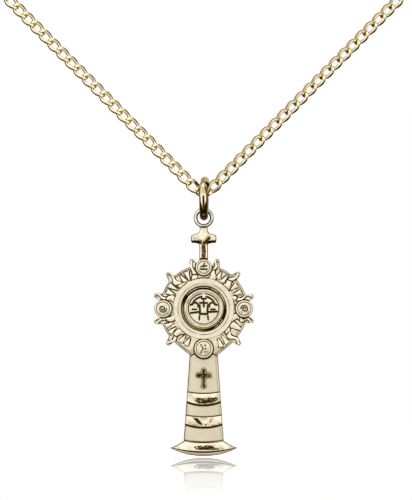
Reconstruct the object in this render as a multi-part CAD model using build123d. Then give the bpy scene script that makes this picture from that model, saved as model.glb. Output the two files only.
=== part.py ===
"""A small gold pendant in the shape of a monstrance, on its jump ring and a light curb chain.

Millimetres. X runs to the right as the pendant faces the viewer, Y to its back and Z up.
The origin is halfway between the two places where the chain's ends are held.
"""
import os
from math import cos, pi, radians, sin, tan

from build123d import *

# ---- Chain: every link is one closed, twisted oval of round wire -------------------------
LINK_WIRE = 0.36
LINK_WIDTH = 1.52
LINK_PITCH = 1.58
LINK_GAP = 0.02            # play between the wires of two linked links
LINK_TWIST = 50            # degrees that each end of a link turns out of its flat middle
LINK_SQUARENESS = 0.75     # below 1 the oval is fuller at its corners
LINK_CORNERS = 8
BEND_SHARE = 0.45          # of the shorter run beside a corner, taken up by the corner's bend
LINKS_PER_ARM = 23
ARM_ANGLE = 45.4           # each arm's rise above the horizontal
ARM_ROLL = 13              # each arm's roll about its own length
FIRST_LINK_OFFSET = Vector(1.315, 0.113, 0.602)   # an arm's first link, from the centre link

# ---- End fittings ------------------------------------------------------------------------
CONNECTOR_WIRE = 0.40
CONNECTOR_RADIUS = 0.95    # to the middle of the wire
CONNECTOR_ROLL = 72        # about the arm's length, from the flat of the chain
CONNECTOR_PLAY = 0.18      # lets the last link swing round the connector ring
CLASP_RADIUS = 2.15        # to the middle of the clasp's tube
CLASP_TUBE = 1.10
CLASP_BORE = 0.72
CLASP_GAP = (20, 80)       # degrees round the clasp, from its outer side
BORE_END = 200
SOCKET_DEPTH = 6           # degrees
BOLT_WIRE = 0.64
BOLT_ARC = (15.5, 128)
THUMB_PIN_AT = 104
THUMB_PIN = 0.44
THUMB_HEAD = 0.62
THUMB_REACH = 0.95
SLOT_ARC = (98, 155)
SLOT_WIDTH = 0.50
SPRING_ARC = (129, 199)
SPRING_OUTER = 0.62
SPRING_INNER = 0.34
EYE_RADIUS = 0.62
EYE_WIRE = 0.42
TAG_WIDTH = 2.6
TAG_LENGTH = 5.6
TAG_THICKNESS = 0.4
TAG_SMALL_HOLE = 0.90
TAG_LARGE_HOLE = 1.70
TAG_PLAY = 0.11
TAG_END_MARGIN = 0.45      # from the small hole's centre to where the round end is centred
TAG_HOLE_SPACING = 2.85
EYE_OVERLAP = 0.10         # how far the eye is let into the clasp's tube

# ---- Jump ring: one turn of wire whose two sawn ends sit side by side -----------------------
RING_OUTER = 5.65
RING_WIRE = 1.08
RING_OFFSET = 0.06         # of the ring's middle from the chain's
RING_LEAD = 0.26           # how far one end stands beside the other
RING_SPLIT = 0.04          # left by the saw
RING_SPLIT_AT = 48         # degrees up the front of the ring
HANG_GAP = 0.05            # between a ring and what hangs in it

# ---- Pendant, measured from the centre of its glory --------------------------------------
LOOP_HEIGHT = 11.64
LOOP_OUTER = 2.56
LOOP_WIRE = 0.49
PLATE_FRONT = -0.35
PLATE_BACK = 0.55
GLORY_RADIUS = 5.67
SPIKE_RADIUS = 6.60
SPIKE_HALF_ANGLE = 4.8
SPIKE_TIP_HALF_ANGLE = 1.3   # of each spike's blunt tip
SPIKES = 12
LOST_SPIKES = (255, 285)   # degrees at which the stem's shoulders take a spike's place
ROUNDELS = {               # direction in degrees, distance out, diameter
    "top": (90, 5.29, 2.05),
    "left": (180, 5.20, 2.20),
    "right": (0, 5.20, 2.20),
    "bottom": (270, 5.12, 2.38),
}
ROUNDEL_RIM = 0.22
BEAD_ORBIT = 0.17          # as a share of the roundel's diameter
BEAD_RADIUS = 0.09         # likewise
RAY_INNER = 4.02
RAY_OUTER = 5.45
SHORT_RAY_OUTER = 5.20
RAY_HALF_ANGLE = 3.2
SHORT_RAY_HALF_ANGLE = 5.0
FIELD_OUTER = 7.82
FIELD_STEP = 6.56
FIELD_INNER = 6.02
STEP_WIDTH = 0.14
BEZEL_OUTER = 5.36
BEZEL_INNER = 4.36
BEZEL_CHAMFER = 0.14
HOST_RING = 3.72
HOST_RING_WIRE = 0.16
STEM_TOP = -5.78
STEM_SHOULDER = -5.97
STEM_FOOT = -16.95
STEM_TOP_HALF = 1.80
STEM_PEAK = 1.30           # from the middle to each shoulder's peak
STEM_FOOT_HALF = 2.56
STEM_BORDER = 0.16
BAND_SAG = 0.22
UPPER_BAND = (-10.69, -11.90)
LOWER_BAND = (-13.68, -14.75)
CROSS_TOP = -7.59
CROSS_BOTTOM = -10.24
CROSS_ARM = -8.54
CROSS_HALF_SPAN = 1.02
CROSS_BAR = 0.52
CROSS_END = 0.34           # radius of each rounded end
FOOT_HALF = 4.25
FOOT_TIP = -17.86
FOOT_EDGE_SAG = 0.50
FOOT_FLARE = (3.55, -17.20)
LIP_DEPTH = 1.02
FINIAL_TOP = 10.62
FINIAL_BOTTOM = 6.05
FINIAL_HALF_DEPTH = 0.45
ARM_HEIGHT = 8.95
ARM_REACH = 1.60
ARM_END = 1.10
ARM_BULGE = 0.06           # of each arm's rounded end
SHAFT_WIDTH = 1.06
THROAT = 0.12              # how closely the neck's flare hugs its corner
ARM_HOLLOW = 0.08          # of each arm's underside

# ---- How far each relief stands forward of the plate ------------------------------------------
RAY_RELIEF = 0.18
ROUNDEL_RELIEF = 0.14
BEAD_RELIEF = 0.24
ROUNDEL_RIM_RELIEF = 0.30
FIELD_RELIEF = 0.14
STEP_RELIEF = 0.20
BEZEL_RELIEF = 0.42
HOST_RELIEF = 0.22
HOST_RING_RELIEF = 0.32
EMBLEM_RELIEF = 0.34
BAND_RELIEF = 0.28
BORDER_RELIEF = 0.12
CROSS_RELIEF = 0.26
FOOT_RELIEF = 0.35
LIP_RELIEF = 0.05

# ---- Emblem on the host: place and size of its bars, from the host's centre --------------------
CROSS_UPRIGHT = (0, 0.38, 0.16, 1.30)
CROSS_BEAM = (0, 0.62, 0.72, 0.16)
ALTAR_BAR = (0, -0.32, 2.30, 0.15)
CURL_PLACE = (0.80, -0.02)
CURL_RADII = (0.62, 0.48)
CURL_OPENING = (0.55, 0.35, 0.80)       # where each curl is cut open, and the size of the cut
LEAF_PLACE = (0.62, -0.86)
LEAF_SIZE = (0.34, 0.10)
LEAF_TURN = 38


# ---- Helpers -----------------------------------------------------------------------------
def at_angle(radius, degrees, centre=(0, 0)):
    """A point in the pendant's front view, by radius and angle from +X."""
    return (centre[0] + radius * cos(radians(degrees)), centre[1] + radius * sin(radians(degrees)))


def raised(sketch, back, front):
    """Extrude a sketch of the front view from the depth back forwards to the depth front."""
    plane = Plane(origin=(0, back, 0), x_dir=(1, 0, 0), z_dir=(0, -1, 0))
    return extrude(plane * sketch, amount=back - front)


def relief(sketch, height):
    """A sketch of the front view, standing this far forward of the pendant's plate."""
    return raised(sketch, PLATE_FRONT, PLATE_FRONT - height)


def bar(x, z, width, height):
    return Pos(x, z) * Rectangle(width, height)


def wire_ring(centre, radius, wire, axis):
    return Plane(origin=centre, z_dir=axis) * Torus(radius, wire / 2)


def arc_rod(radius, wire, start, end):
    """A round rod bent about the local Z axis, from one angle to another."""
    profile = Pos(radius, 0, 0) * (Plane.XZ * Circle(wire / 2))
    return Rot(0, 0, start) * revolve(profile, Axis.Z, end - start)


def closed_wire_loop(points, wire):
    """A closed loop of round wire along straight runs joined by tangent arcs."""
    radii = []
    for index, point in enumerate(points):
        before = points[index - 1] - point
        after = points[(index + 1) % len(points)] - point
        turn = pi - radians(before.get_angle(after))
        radii.append(BEND_SHARE * min(before.length, after.length) / tan(turn / 2))
    edges = FilletPolyline(*points, radius=radii, close=True).edges()
    half = len(edges) // 2
    halves = []
    for run in (edges[:half], edges[half:]):
        path = Wire(run)
        halves.append(sweep(Plane(origin=path @ 0, z_dir=path % 0) * Circle(wire / 2), path=path))
    return halves[0] + halves[1]


# ---- Chain -------------------------------------------------------------------------------
link_reach = (LINK_PITCH + LINK_WIRE + LINK_GAP) / 2     # centre to the middle of the end wire
arm_direction = Vector(cos(radians(ARM_ANGLE)), 0, sin(radians(ARM_ANGLE)))
arm_across = Vector(-sin(radians(ARM_ANGLE)), 0, cos(radians(ARM_ANGLE)))


def curb_link():
    """One link along X: its middle lies flat in XZ and its two ends twist opposite ways."""
    spread = cos(pi / LINK_CORNERS)
    points = []
    for corner in range(LINK_CORNERS):
        angle = pi / LINK_CORNERS * (2 * corner + 1)
        side = 1 if sin(angle) > 0 else -1
        reach = (LINK_WIDTH - LINK_WIRE) / 2 / spread * side * abs(sin(angle)) ** LINK_SQUARENESS
        twist = radians(LINK_TWIST) * cos(angle)
        along = link_reach / spread * cos(angle)
        points.append(Vector(along, reach * sin(twist), reach * cos(twist)))
    return closed_wire_loop(points, LINK_WIRE)


def along_arm(distance):
    """A frame on the right arm, this far beyond its first link: X along it, Z across it."""
    return Plane(origin=first_link + arm_direction * distance, x_dir=arm_direction, z_dir=arm_across)


# The last link's outer end swings about the inner wire of its connector ring, at height 0.
hook_distance = (LINKS_PER_ARM - 1) * LINK_PITCH + link_reach
hook_distance -= (LINK_WIRE + CONNECTOR_WIRE) / 2 + CONNECTOR_PLAY
centre_link_z = -(FIRST_LINK_OFFSET.Z + hook_distance * arm_direction.Z)
first_link = FIRST_LINK_OFFSET + Vector(0, 0, centre_link_z)
hook = first_link + arm_direction * hook_distance

link = curb_link()
rolled_link = Rot(ARM_ROLL, 0, 0) * link
other_end = Rot(0, 0, 180)

parts = {}
arm_places = [along_arm(place * LINK_PITCH).location for place in range(LINKS_PER_ARM)]
parts["chain_links_right"] = Compound([place * rolled_link for place in arm_places])
parts["chain_links_left"] = Compound([other_end * place * rolled_link for place in arm_places])
parts["centre_link"] = Pos(0, 0, centre_link_z) * link

# ---- End fittings, made at the right-hand end; the clasp's are then turned to the left -----
ring_tilt = Vector(0, -sin(radians(CONNECTOR_ROLL)), 0) + arm_across * cos(radians(CONNECTOR_ROLL))
connector_centre = hook + arm_direction * CONNECTOR_RADIUS
connector = wire_ring(connector_centre, CONNECTOR_RADIUS, CONNECTOR_WIRE, arm_direction.cross(ring_tilt))
connector_far = hook + arm_direction * 2 * CONNECTOR_RADIUS
parts["tag_connector_ring"] = connector
parts["clasp_connector_ring"] = other_end * connector

tag_hole_play = (TAG_SMALL_HOLE - CONNECTOR_WIRE) / 2 - TAG_PLAY
tag_hole = connector_far + arm_direction * tag_hole_play
tag_back = tag_hole + Vector(0, TAG_THICKNESS / 2, 0)
tag_plane = Plane(origin=tag_back, x_dir=arm_direction, z_dir=(0, -1, 0))
tag_middle = (TAG_LENGTH - TAG_WIDTH) / 2 + TAG_END_MARGIN
tag_shape = Pos(tag_middle, 0) * SlotOverall(TAG_LENGTH, TAG_WIDTH)
tag_shape -= Circle(TAG_SMALL_HOLE / 2)
tag_shape -= Pos(TAG_HOLE_SPACING, 0) * Circle(TAG_LARGE_HOLE / 2)
parts["end_tag"] = extrude(tag_plane * tag_shape, amount=TAG_THICKNESS)
tag_mount = tag_hole + arm_direction * TAG_HOLE_SPACING

eye_centre = connector_far - arm_direction * ((CONNECTOR_WIRE + EYE_WIRE) / 2 + HANG_GAP - EYE_RADIUS)
eye_to_clasp = CLASP_RADIUS + (CLASP_TUBE + EYE_WIRE) / 2 + EYE_RADIUS - EYE_OVERLAP
clasp_centre = eye_centre + arm_direction * eye_to_clasp
clasp_plane = Plane(origin=clasp_centre, x_dir=arm_direction, z_dir=(0, -1, 0))

body = arc_rod(CLASP_RADIUS, CLASP_TUBE, CLASP_GAP[1], CLASP_GAP[0] + 360)
body -= arc_rod(CLASP_RADIUS, CLASP_BORE, CLASP_GAP[1] - 2, BORE_END)
body -= arc_rod(CLASP_RADIUS, CLASP_BORE, CLASP_GAP[0] - SOCKET_DEPTH, CLASP_GAP[0] + 2)
slot_profile = Pos(CLASP_RADIUS + CLASP_TUBE / 2, 0, 0) * (Plane.XZ * Rectangle(CLASP_TUBE, SLOT_WIDTH))
body -= Rot(0, 0, SLOT_ARC[0]) * revolve(slot_profile, Axis.Z, SLOT_ARC[1] - SLOT_ARC[0])
eye = Pos(-eye_to_clasp, 0, 0) * Torus(EYE_RADIUS, EYE_WIRE / 2)
eye -= Torus(CLASP_RADIUS, CLASP_TUBE / 2)
bolt = arc_rod(CLASP_RADIUS, BOLT_WIRE, *BOLT_ARC)
pin_end = CLASP_RADIUS + THUMB_REACH
pin = Pos(CLASP_RADIUS + THUMB_REACH / 2, 0, 0) * (Rot(0, 90, 0) * Cylinder(THUMB_PIN / 2, THUMB_REACH))
bolt += Rot(0, 0, THUMB_PIN_AT) * pin
bolt += Rot(0, 0, THUMB_PIN_AT) * (Pos(pin_end, 0, 0) * Sphere(THUMB_HEAD / 2))
spring = arc_rod(CLASP_RADIUS, SPRING_OUTER, *SPRING_ARC) - arc_rod(CLASP_RADIUS, SPRING_INNER, *SPRING_ARC)

for name, piece in {"clasp_body": body, "clasp_eye": eye, "clasp_bolt": bolt, "clasp_spring": spring}.items():
    parts[name] = other_end * (clasp_plane.location * piece)

# ---- Jump ring ---------------------------------------------------------------------------
ring_radius = (RING_OUTER - RING_WIRE) / 2
ring_top_inner = centre_link_z + LINK_WIDTH / 2 + HANG_GAP
ring_z = ring_top_inner + RING_WIRE / 2 - ring_radius
turn_share = 1 - RING_SPLIT / (2 * pi * ring_radius)
coil = Helix(pitch=RING_LEAD, height=RING_LEAD * turn_share, radius=ring_radius)
ring = sweep(Plane(origin=coil @ 0, z_dir=coil % 0) * Circle(RING_WIRE / 2), path=coil, is_frenet=True)
split_way = (0, -cos(radians(RING_SPLIT_AT)), sin(radians(RING_SPLIT_AT)))
ring_side = RING_OFFSET - RING_LEAD / 2
ring_plane = Plane(origin=(ring_side, 0, ring_z), x_dir=split_way, z_dir=(1, 0, 0))
parts["jump_ring"] = ring_plane.location * ring

# ---- Pendant -----------------------------------------------------------------------------
loop_radius = (LOOP_OUTER - LOOP_WIRE) / 2
loop_hole_top = ring_z - ring_radius + RING_WIRE / 2 + HANG_GAP
glory_z = loop_hole_top - (loop_radius - LOOP_WIRE / 2) - LOOP_HEIGHT

pendant = {}
loop = wire_ring((0, 0, LOOP_HEIGHT), loop_radius, LOOP_WIRE, (0, 1, 0))
pendant["hanging_loop"] = loop


def finial_outline():
    """Neck, flared arms and shaft of the cross, symmetrical about its middle."""
    half_shaft = SHAFT_WIDTH / 2
    arm_top = ARM_HEIGHT + ARM_END / 2
    arm_bottom = ARM_HEIGHT - ARM_END / 2
    corner = (ARM_REACH, arm_top)
    neck = (half_shaft, FINIAL_TOP)
    throat = (half_shaft + THROAT, arm_top + THROAT)
    inner = (half_shaft, arm_bottom + THROAT)
    outline = ThreePointArc(neck, throat, corner)
    outline += ThreePointArc(corner, (ARM_REACH + ARM_BULGE, ARM_HEIGHT), (ARM_REACH, arm_bottom))
    underside = ((ARM_REACH + half_shaft) / 2, arm_bottom + ARM_HOLLOW)
    outline += ThreePointArc((ARM_REACH, arm_bottom), underside, inner)
    outline += Line(inner, (half_shaft, FINIAL_BOTTOM))
    outline += Line((half_shaft, FINIAL_BOTTOM), (0, FINIAL_BOTTOM))
    outline += Line((0, FINIAL_BOTTOM), (0, FINIAL_TOP))
    outline += Line((0, FINIAL_TOP), neck)
    right = make_face(outline)
    return right + mirror(right, about=Plane.YZ)


def band_line(height, reach):
    return ThreePointArc((-reach, height), (0, height - BAND_SAG), (reach, height))


def between(top, bottom):
    """The face between two arcs, closed by a straight line at each end."""
    sides = Line(top @ 0, bottom @ 0) + Line(top @ 1, bottom @ 1)
    return make_face(top + bottom + sides)


roundels = {}
for side, (direction, orbit, diameter) in ROUNDELS.items():
    roundels[side] = (at_angle(orbit, direction), diameter)
roundel_discs = [Pos(*centre) * Circle(diameter / 2) for centre, diameter in roundels.values()]

# Glory: a plate of twelve blunt points, the two lowest of them lost in the stem's shoulders.
rim_points = []
for spike in range(SPIKES):
    middle = 360 / SPIKES * (spike + 0.5)
    rim_points.append(at_angle(GLORY_RADIUS, middle - SPIKE_HALF_ANGLE))
    if middle not in LOST_SPIKES:
        rim_points.append(at_angle(SPIKE_RADIUS, middle - SPIKE_TIP_HALF_ANGLE))
        rim_points.append(at_angle(SPIKE_RADIUS, middle + SPIKE_TIP_HALF_ANGLE))
    rim_points.append(at_angle(GLORY_RADIUS, middle + SPIKE_HALF_ANGLE))
glory_outline = make_face(Polyline(*rim_points, close=True))
for disc in roundel_discs:
    glory_outline += disc
pendant["glory_plate"] = raised(glory_outline, PLATE_BACK, PLATE_FRONT)

ray_faces = []
for ray in range(2 * SPIKES):
    middle = 360 / SPIKES / 2 * ray
    long_ray = ray % 2 == 1
    if not long_ray and ray % 6 == 0:
        continue
    inner_half = RAY_HALF_ANGLE if long_ray else SHORT_RAY_HALF_ANGLE
    reach = RAY_OUTER if long_ray else SHORT_RAY_OUTER
    corners = (at_angle(RAY_INNER, middle - inner_half), at_angle(RAY_INNER, middle + inner_half),
               at_angle(reach, middle))
    face = make_face(Polyline(*corners, close=True))
    for disc in roundel_discs:
        face -= disc
    ray_faces.append(relief(face, RAY_RELIEF))
pendant["glory_rays"] = Compound([solid for face in ray_faces for solid in face.solids()])

for side, (centre, diameter) in roundels.items():
    rim = Circle(diameter / 2) - Circle(diameter / 2 - ROUNDEL_RIM)
    disc = relief(Pos(*centre) * Circle(diameter / 2), ROUNDEL_RELIEF)
    disc += relief(Pos(*centre) * rim, ROUNDEL_RIM_RELIEF)
    for bead_angle in (45, 135, 225, 315):
        bead_place = at_angle(diameter * BEAD_ORBIT, bead_angle, centre)
        disc += relief(Pos(*bead_place) * Circle(diameter * BEAD_RADIUS), BEAD_RELIEF)
    pendant["roundel_" + side] = disc

field = Circle(FIELD_OUTER / 2) - Circle(FIELD_INNER / 2)
field_step = Circle((FIELD_STEP + STEP_WIDTH) / 2) - Circle((FIELD_STEP - STEP_WIDTH) / 2)
pendant["field_ring"] = relief(field, FIELD_RELIEF) + relief(field_step, STEP_RELIEF)
bezel = relief(Circle(BEZEL_OUTER / 2) - Circle(BEZEL_INNER / 2), BEZEL_RELIEF)
bezel_edges = bezel.faces().sort_by(Axis.Y)[0].edges()
pendant["bezel_ring"] = chamfer(bezel_edges, BEZEL_CHAMFER)
pendant["host_disc"] = relief(Circle(BEZEL_INNER / 2), HOST_RELIEF)
host_front = PLATE_FRONT - HOST_RELIEF
host_ring = Circle((HOST_RING + HOST_RING_WIRE) / 2) - Circle((HOST_RING - HOST_RING_WIRE) / 2)
pendant["host_ring"] = raised(host_ring, host_front, PLATE_FRONT - HOST_RING_RELIEF)

# Emblem on the host: a cross over a bar, between two curled leaves.
emblem = bar(*CROSS_UPRIGHT) + bar(*CROSS_BEAM) + bar(*ALTAR_BAR)
opening_x, opening_z, opening_size = CURL_OPENING
for side in (-1, 1):
    curl = Circle(CURL_RADII[0]) - Circle(CURL_RADII[1])
    curl -= bar(-side * opening_x, opening_z, opening_size, opening_size)
    emblem += Pos(side * CURL_PLACE[0], CURL_PLACE[1]) * curl
    emblem += Pos(side * LEAF_PLACE[0], LEAF_PLACE[1]) * (Rot(0, 0, side * LEAF_TURN) * Ellipse(*LEAF_SIZE))
emblem = emblem & Circle((HOST_RING - HOST_RING_WIRE) / 2)
pendant["host_emblem"] = raised(emblem, host_front, PLATE_FRONT - EMBLEM_RELIEF)

# Foot: a crescent moulding over a thin lip.
foot_top = ThreePointArc((-STEM_FOOT_HALF, STEM_FOOT), (0, STEM_FOOT - BAND_SAG), (STEM_FOOT_HALF, STEM_FOOT))
foot_low = ThreePointArc((-FOOT_HALF, FOOT_TIP), (0, FOOT_TIP - FOOT_EDGE_SAG), (FOOT_HALF, FOOT_TIP))
right_flare = ThreePointArc((STEM_FOOT_HALF, STEM_FOOT), FOOT_FLARE, (FOOT_HALF, FOOT_TIP))
left_flare = mirror(right_flare, about=Plane.YZ)
foot_face = make_face(foot_top + foot_low + right_flare + left_flare)
lip_low = ThreePointArc((-FOOT_HALF, FOOT_TIP), (0, FOOT_TIP - LIP_DEPTH), (FOOT_HALF, FOOT_TIP))
lip_face = make_face(foot_low + lip_low)
pendant["foot"] = raised(foot_face, PLATE_BACK, PLATE_FRONT - FOOT_RELIEF)
pendant["foot_lip"] = raised(lip_face, PLATE_BACK, PLATE_FRONT - LIP_RELIEF)

# Stem: a tapering plate whose shoulders close round the lowest roundel.
stem_outline = Polyline(
    (-STEM_PEAK, STEM_TOP), (-STEM_TOP_HALF, STEM_SHOULDER), (-STEM_FOOT_HALF, STEM_FOOT),
    (-STEM_FOOT_HALF, STEM_FOOT - BAND_SAG), (STEM_FOOT_HALF, STEM_FOOT - BAND_SAG),
    (STEM_FOOT_HALF, STEM_FOOT), (STEM_TOP_HALF, STEM_SHOULDER), (STEM_PEAK, STEM_TOP),
    (0, -GLORY_RADIUS), close=True)
stem_face = make_face(stem_outline) - glory_outline - foot_face
pendant["stem"] = raised(stem_face, PLATE_BACK, PLATE_FRONT)


def stem_half_width(height):
    share = (STEM_SHOULDER - height) / (STEM_SHOULDER - STEM_FOOT)
    return STEM_TOP_HALF + (STEM_FOOT_HALF - STEM_TOP_HALF) * share


def stem_band(top, bottom):
    high = band_line(top, stem_half_width(top))
    low_half = stem_half_width(bottom)
    low = ThreePointArc((-low_half, bottom), (0, bottom - 2 * BAND_SAG), (low_half, bottom))
    return between(high, low)


upper_band = stem_band(*UPPER_BAND)
lower_band = stem_band(*LOWER_BAND)
pendant["upper_band"] = relief(upper_band, BAND_RELIEF)
pendant["lower_band"] = relief(lower_band, BAND_RELIEF)

for side, name in ((-1, "stem_border_left"), (1, "stem_border_right")):
    top_x = side * STEM_TOP_HALF
    foot_x = side * STEM_FOOT_HALF
    inward = -side * STEM_BORDER
    strip = make_face(Polyline((top_x, STEM_SHOULDER), (top_x + inward, STEM_SHOULDER),
                               (foot_x + inward, STEM_FOOT), (foot_x, STEM_FOOT), close=True))
    strip = strip - upper_band - lower_band - foot_face - glory_outline
    strips = relief(strip, BORDER_RELIEF)
    pendant[name] = Compound(strips.solids())

arm_end = CROSS_HALF_SPAN - CROSS_END
high_end = CROSS_TOP - CROSS_END
low_end = CROSS_BOTTOM + CROSS_END
cross = bar(0, (high_end + low_end) / 2, CROSS_BAR, high_end - low_end)
cross += bar(0, CROSS_ARM, 2 * arm_end, 2 * CROSS_END)
for x, z in ((0, high_end), (0, low_end), (arm_end, CROSS_ARM), (-arm_end, CROSS_ARM)):
    cross += Pos(x, z) * Circle(CROSS_END)
pendant["stem_cross"] = relief(cross, CROSS_RELIEF)

finial = raised(finial_outline(), FINIAL_HALF_DEPTH, -FINIAL_HALF_DEPTH)
finial -= raised(glory_outline, PLATE_BACK, PLATE_FRONT)
finial -= pendant["roundel_top"]
finial -= loop
pendant["finial_cross"] = finial

for name, piece in pendant.items():
    parts[name] = Pos(0, 0, glory_z) * piece

os.makedirs("parts", exist_ok=True)
for name, piece in parts.items():
    export_step(piece, f"parts/{name}.step")

print("hook", hook, "centre link z", round(centre_link_z, 4))
print("ring centre z", round(ring_z, 4), "glory z", round(glory_z, 4))
print("ring bottom wire z", round(ring_z - ring_radius, 4))
print("clasp centre", (-clasp_centre.X, -clasp_centre.Y, clasp_centre.Z))
print("tag mount", tag_mount)
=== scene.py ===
import math

import bmesh
import bpy
import numpy as np
from mathutils import Matrix, Vector


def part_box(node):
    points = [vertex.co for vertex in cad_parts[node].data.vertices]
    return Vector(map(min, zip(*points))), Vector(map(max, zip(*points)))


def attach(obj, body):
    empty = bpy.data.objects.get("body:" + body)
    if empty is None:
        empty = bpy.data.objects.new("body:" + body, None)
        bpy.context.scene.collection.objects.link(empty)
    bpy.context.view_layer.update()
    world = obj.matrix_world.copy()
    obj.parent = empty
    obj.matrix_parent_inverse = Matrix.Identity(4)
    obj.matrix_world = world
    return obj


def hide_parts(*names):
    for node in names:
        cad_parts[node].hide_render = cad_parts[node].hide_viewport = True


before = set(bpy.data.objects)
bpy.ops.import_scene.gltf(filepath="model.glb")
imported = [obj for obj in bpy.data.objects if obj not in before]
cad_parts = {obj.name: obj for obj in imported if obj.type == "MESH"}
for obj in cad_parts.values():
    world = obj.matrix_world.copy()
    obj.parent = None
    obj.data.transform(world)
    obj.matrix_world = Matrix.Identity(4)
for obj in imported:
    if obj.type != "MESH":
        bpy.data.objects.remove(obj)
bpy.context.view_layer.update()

MM = 0.001


def corners(node):
    """A node's lowest and highest corner, in millimetres."""
    return [Vector(corner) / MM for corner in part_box(node)]


def middle(node):
    low, high = corners(node)
    return (low + high) / 2


def extent(node):
    low, high = corners(node)
    return high - low


# ---------- places, all in millimetres
GLORY = middle("bezel_ring")       # the pendant is drawn from the middle of its glory
GLORY.y = 0
PLATE_BACK = corners("glory_plate")[1].y
PLATE_FRONT = -corners("glory_plate")[0].y     # forward of the plate's middle, as a height


def from_glory(node):
    return [corner - GLORY for corner in corners(node)]


# ---------- node trees
def graph(owner):
    """Empties an owner's node tree, and gives a function that adds nodes to it.

    Each socket is given either a plain value or the output that feeds it.
    """
    owner.use_nodes = True
    tree = owner.node_tree
    tree.nodes.clear()

    def add(kind, sockets=None, **settings):
        node = tree.nodes.new(kind)
        for setting, value in settings.items():
            setattr(node, setting, value)
        for socket, value in (sockets or {}).items():
            if isinstance(value, bpy.types.NodeSocket):
                tree.links.new(value, node.inputs[socket])
            else:
                node.inputs[socket].default_value = value
        return node
    return add


def combine(add, operation, *values):
    return add("ShaderNodeMath", dict(enumerate(values)), operation=operation).outputs["Value"]


def eased(add, value, start, end, low, high):
    """A value that goes smoothly from low at start to high at end."""
    sockets = {"Value": value, "From Min": start, "From Max": end, "To Min": low, "To Max": high}
    return add("ShaderNodeMapRange", sockets, interpolation_type="SMOOTHSTEP").outputs["Result"]


def noise(add, place, size, detail):
    sockets = {"Vector": place, "Scale": 1 / (size * MM), "Detail": detail}
    return add("ShaderNodeTexNoise", sockets).outputs["Fac"]


def two_colours(add, value, *stops):
    """A colour ramp between two stops, each a value and its colour."""
    ramp = add("ShaderNodeValToRGB", {"Fac": value})
    for element, (position, colour) in zip(ramp.color_ramp.elements, stops):
        element.position = position
        element.color = (*colour, 1)
    return ramp.outputs["Color"]


# ---------- materials
SHADE_TINT = (0.50, 0.42, 0.24)      # of the gold's own colour, where the painted shade is light
SHADE_DULLS = 0.16                   # added to the roughness where the painted shade is full
CLOUD_SIZE = 0.9
RIPPLE_SIZE, RIPPLE_DEPTH = 0.8, 0.02
GRAIN_DEPTH = 0.004


def gold(name, colour, dark, roughness, grain=0.0, grain_size=0.05, ripple=0.0, mottle=0.06):
    """Gold that the mesh's cavity attribute darkens: painted shade and painted dark reflections in hollows,
    grooves and along outlines, in the colours of antiqued relief.
    """
    material = bpy.data.materials.new(name)
    add = graph(material)
    place = add("ShaderNodeTexCoord").outputs["Object"]
    cloud = noise(add, place, CLOUD_SIZE, 3)
    deeper = [share * (1 - mottle) for share in colour]
    paler = [min(1, share * (1 + mottle / 2)) for share in colour]
    clean = two_colours(add, cloud, (0.3, deeper), (0.7, paler))

    # The cavity attribute says how much painted shade or painted dark reflection a point takes.
    hollow = add("ShaderNodeAttribute", attribute_name="cavity").outputs["Fac"]
    light_shade_colour = [share * tint for share, tint in zip(colour, SHADE_TINT)]
    painted_dark = two_colours(add, hollow, (0.45, light_shade_colour), (1, dark))
    cover = add("ShaderNodeMapRange", {"Value": hollow, "From Max": 0.5}).outputs["Result"]
    clean_or_shaded = add("ShaderNodeMix", {"Factor": cover, "A": clean, "B": painted_dark}, data_type="RGBA")

    uneven = {"Value": cloud, "To Min": roughness * 0.85, "To Max": roughness * 1.15}
    uneven = add("ShaderNodeMapRange", uneven).outputs["Result"]
    sockets = {"Metallic": 1, "Base Color": clean_or_shaded.outputs["Result"],
               "Roughness": combine(add, "MULTIPLY_ADD", hollow, SHADE_DULLS, uneven)}
    for strength, size, depth in ((ripple, RIPPLE_SIZE, RIPPLE_DEPTH), (grain, grain_size, GRAIN_DEPTH)):
        if strength > 0:
            bump = {"Strength": strength, "Distance": depth * MM, "Height": noise(add, place, size, 2)}
            if "Normal" in sockets:
                bump["Normal"] = sockets["Normal"]
            sockets["Normal"] = add("ShaderNodeBump", bump).outputs["Normal"]
    shader = add("ShaderNodeBsdfPrincipled", sockets)
    add("ShaderNodeOutputMaterial", {"Surface": shader.outputs["BSDF"]})
    return material


YELLOW = (0.90, 0.78, 0.48)
# BROWN and OLIVE are the dark colours that the painted shade runs to.
BROWN = (0.042, 0.023, 0.006)
OLIVE = (0.13, 0.10, 0.035)
STEEL = gold("drawn_spring_steel", (0.55, 0.55, 0.56), (0.1, 0.1, 0.1), 0.25, grain=0.4, grain_size=0.1)
CLASP_GOLD = gold("polished_clasp_gold", YELLOW, OLIVE, 0.13, ripple=0.1)
SATIN = gold("satin_relief_gold", (0.87, 0.79, 0.59), BROWN, 0.26, grain=0.3, grain_size=0.08)

# Finishes of the mesh pieces: a material, and the slot that it stands for
STRUCK = gold("struck_matte_gold", (0.87, 0.80, 0.61), BROWN, 0.42, grain=0.9, grain_size=0.06), "struck_gold"
# A darker copy of the struck gold for the stem: its darker colour is painted shade, and its grain is coarser.
COARSE_SHADED = gold("shaded_coarse_matte_gold", (0.74, 0.665, 0.475), BROWN, 0.45, grain=1, grain_size=0.07), "struck_gold"
RELIEF = SATIN, "relief_gold"
CROSS = SATIN, "polished_gold"
POLISHED = gold("polished_gold", (0.80, 0.72, 0.525), BROWN, 0.09, ripple=0.8, mottle=0.36), "polished_gold"
WIRE = gold("polished_wire_gold", YELLOW, BROWN, 0.11, ripple=0.15), "chain_gold"
RING_GOLD = gold("jump_ring_gold", (0.90, 0.80, 0.54), BROWN, 0.10, ripple=0.12), "ring_gold"


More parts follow.
